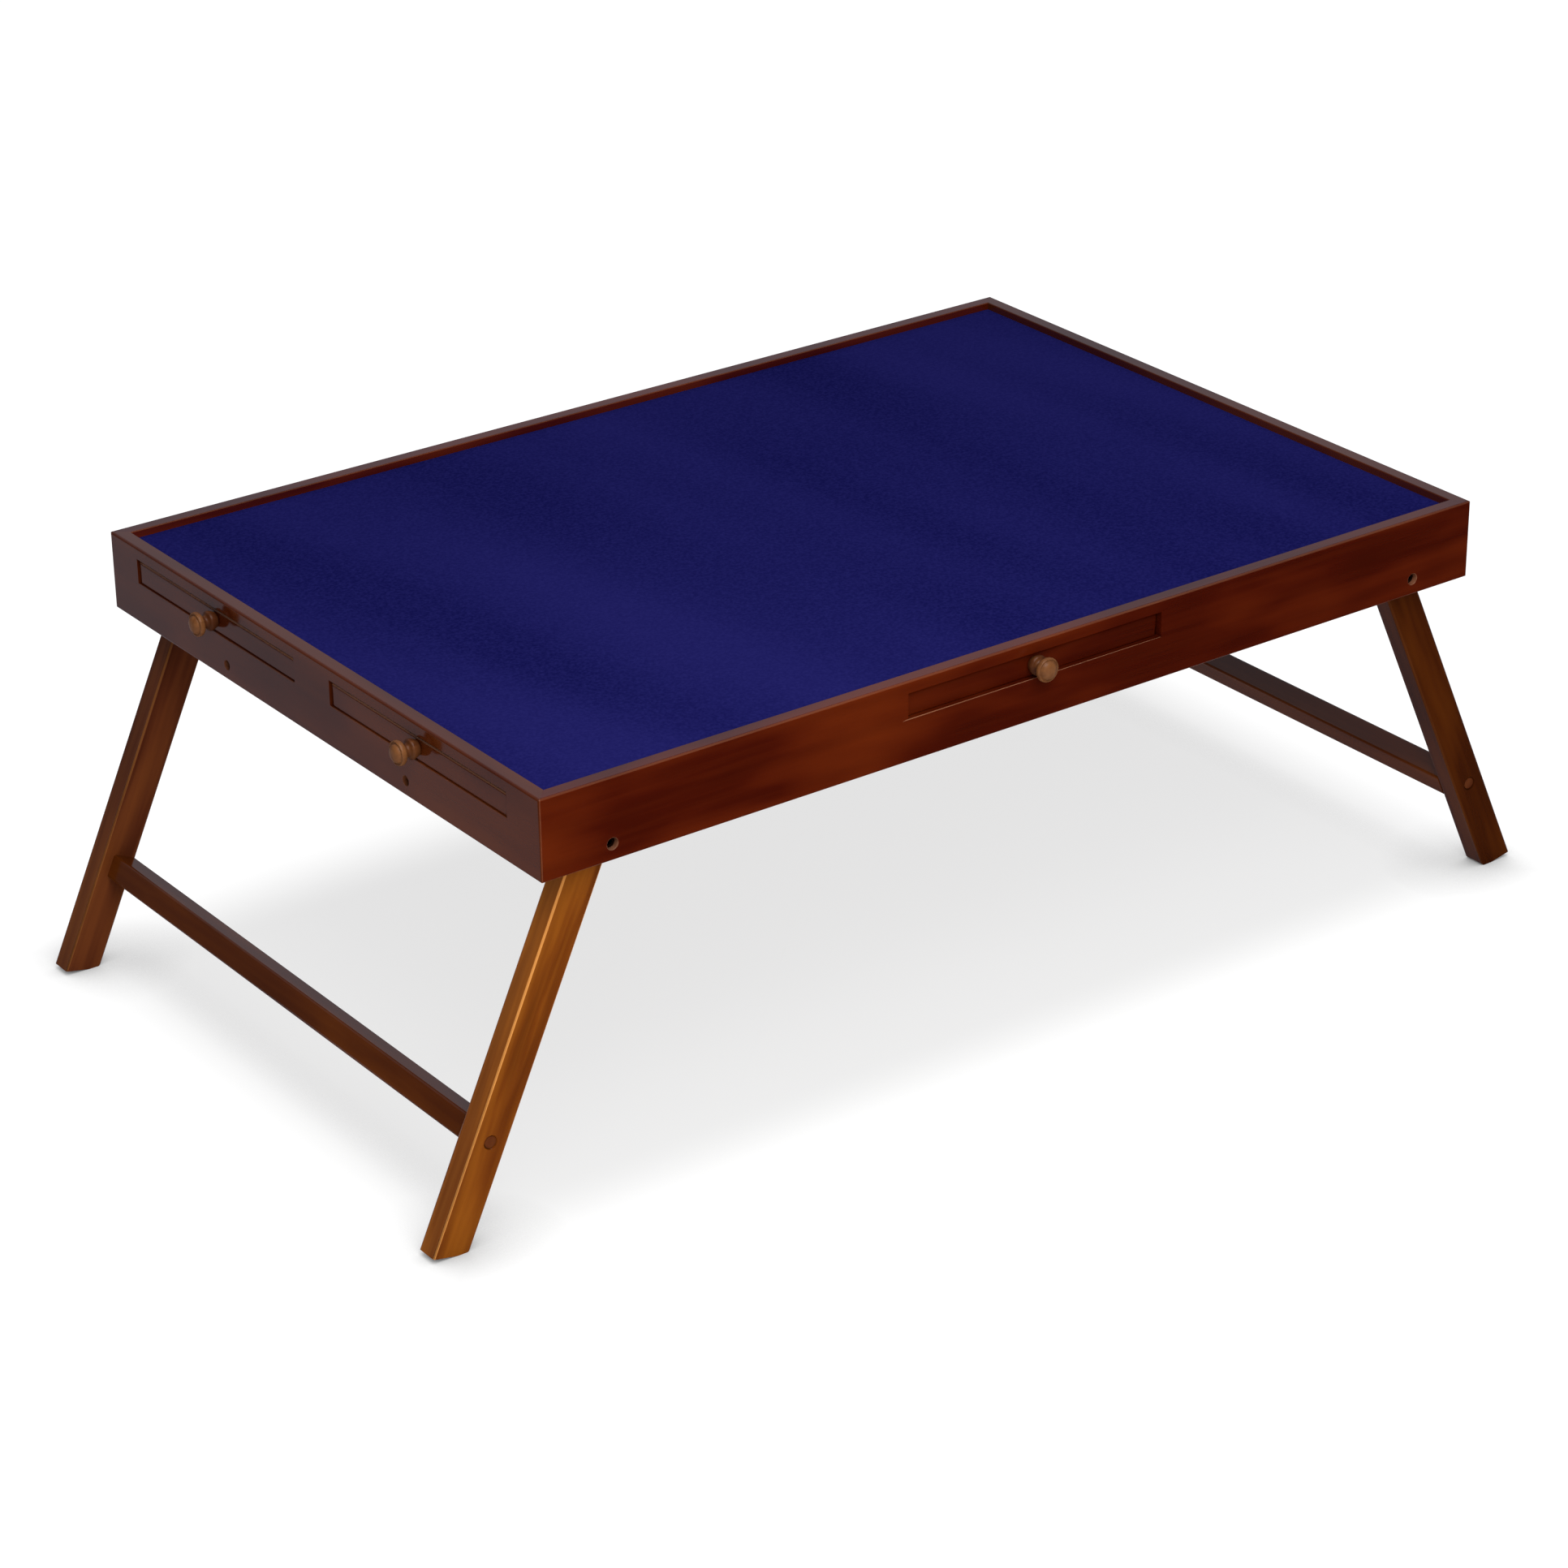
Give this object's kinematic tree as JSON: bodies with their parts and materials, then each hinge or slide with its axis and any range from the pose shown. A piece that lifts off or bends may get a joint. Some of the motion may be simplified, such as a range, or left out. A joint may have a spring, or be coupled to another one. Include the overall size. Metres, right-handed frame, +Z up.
{
  "type": "folding puzzle table",
  "caption": "Low wooden puzzle table with a felt work surface sunk inside a raised rim, shallow knobbed drawers on its sides and ends, and splayed leg frames that fold flat underneath.",
  "frame": {"origin": "on the floor, under the middle of the table", "axes": "+X along the table towards its right end, -Y the front with one drawer, +Z up"},
  "size_m": [1.0356, 0.623, 0.34],
  "materials": {
    "stained_wood": "satin lacquer over a red-brown stain",
    "knob_wood": "satin lacquer over a lighter stain",
    "bare_wood": "sanded, unstained",
    "plywood": "sanded plywood",
    "hardboard": "smooth hardboard",
    "felt": "pressed felt",
    "steel": "zinc plated"
  },
  "bodies": {
    "table": {"front_rail": "stained_wood", "back_rail": "stained_wood", "left_end_rail": "stained_wood", "right_end_rail": "stained_wood", "work_board": "hardboard", "felt_top": "felt", "drawer_deck": "plywood", "left_stop_rail": "stained_wood", "right_stop_rail": "stained_wood", "stop_rail_screws": "steel", "pivot_bolts": "steel", "pivot_washers": "steel", "pivot_nuts": "steel", "drawer_guides": "bare_wood", "drawer_stops": "bare_wood"},
    "left_legs": {"left_front_leg": "stained_wood", "left_back_leg": "stained_wood", "left_stretcher": "stained_wood", "left_stretcher_screws": "steel", "left_leg_plugs": "stained_wood"},
    "right_legs": {"right_front_leg": "stained_wood", "right_back_leg": "stained_wood", "right_stretcher": "stained_wood", "right_stretcher_screws": "steel", "right_leg_plugs": "stained_wood"},
    "front_drawer": {"front_drawer_front": "stained_wood", "front_drawer_walls": "bare_wood", "front_drawer_bottom": "plywood", "front_drawer_knob": "knob_wood", "front_drawer_knob_screw": "steel"},
    "back_drawer": {"back_drawer_front": "stained_wood", "back_drawer_walls": "bare_wood", "back_drawer_bottom": "plywood", "back_drawer_knob": "knob_wood", "back_drawer_knob_screw": "steel"},
    "left_front_drawer": {"left_front_drawer_front": "stained_wood", "left_front_drawer_walls": "bare_wood", "left_front_drawer_bottom": "plywood", "left_front_drawer_knob": "knob_wood", "left_front_drawer_knob_screw": "steel"},
    "left_back_drawer": {"left_back_drawer_front": "stained_wood", "left_back_drawer_walls": "bare_wood", "left_back_drawer_bottom": "plywood", "left_back_drawer_knob": "knob_wood", "left_back_drawer_knob_screw": "steel"},
    "right_front_drawer": {"right_front_drawer_front": "stained_wood", "right_front_drawer_walls": "bare_wood", "right_front_drawer_bottom": "plywood", "right_front_drawer_knob": "knob_wood", "right_front_drawer_knob_screw": "steel"},
    "right_back_drawer": {"right_back_drawer_front": "stained_wood", "right_back_drawer_walls": "bare_wood", "right_back_drawer_bottom": "plywood", "right_back_drawer_knob": "knob_wood", "right_back_drawer_knob_screw": "steel"}
  },
  "joints": [
    {"name": "left_legs_fold", "type": "hinge", "parent": "table", "child": "left_legs", "pos_m": [-0.3717, 0, 0.2897], "axis": [0, -1, 0], "range_deg": [0, 114.5]},
    {"name": "right_legs_fold", "type": "hinge", "parent": "table", "child": "right_legs", "pos_m": [0.3717, 0, 0.2897], "axis": [0, 1, 0], "range_deg": [0, 114.5]},
    {"name": "front_drawer_slide", "type": "slide", "parent": "table", "child": "front_drawer", "axis": [0, -1, 0], "range_m": [0, 0.2]},
    {"name": "back_drawer_slide", "type": "slide", "parent": "table", "child": "back_drawer", "axis": [0, 1, 0], "range_m": [0, 0.2]},
    {"name": "left_front_drawer_slide", "type": "slide", "parent": "table", "child": "left_front_drawer", "axis": [-1, 0, 0], "range_m": [0, 0.2]},
    {"name": "left_back_drawer_slide", "type": "slide", "parent": "table", "child": "left_back_drawer", "axis": [-1, 0, 0], "range_m": [0, 0.2]},
    {"name": "right_front_drawer_slide", "type": "slide", "parent": "table", "child": "right_front_drawer", "axis": [1, 0, 0], "range_m": [0, 0.2]},
    {"name": "right_back_drawer_slide", "type": "slide", "parent": "table", "child": "right_back_drawer", "axis": [1, 0, 0], "range_m": [0, 0.2]}
  ]
}
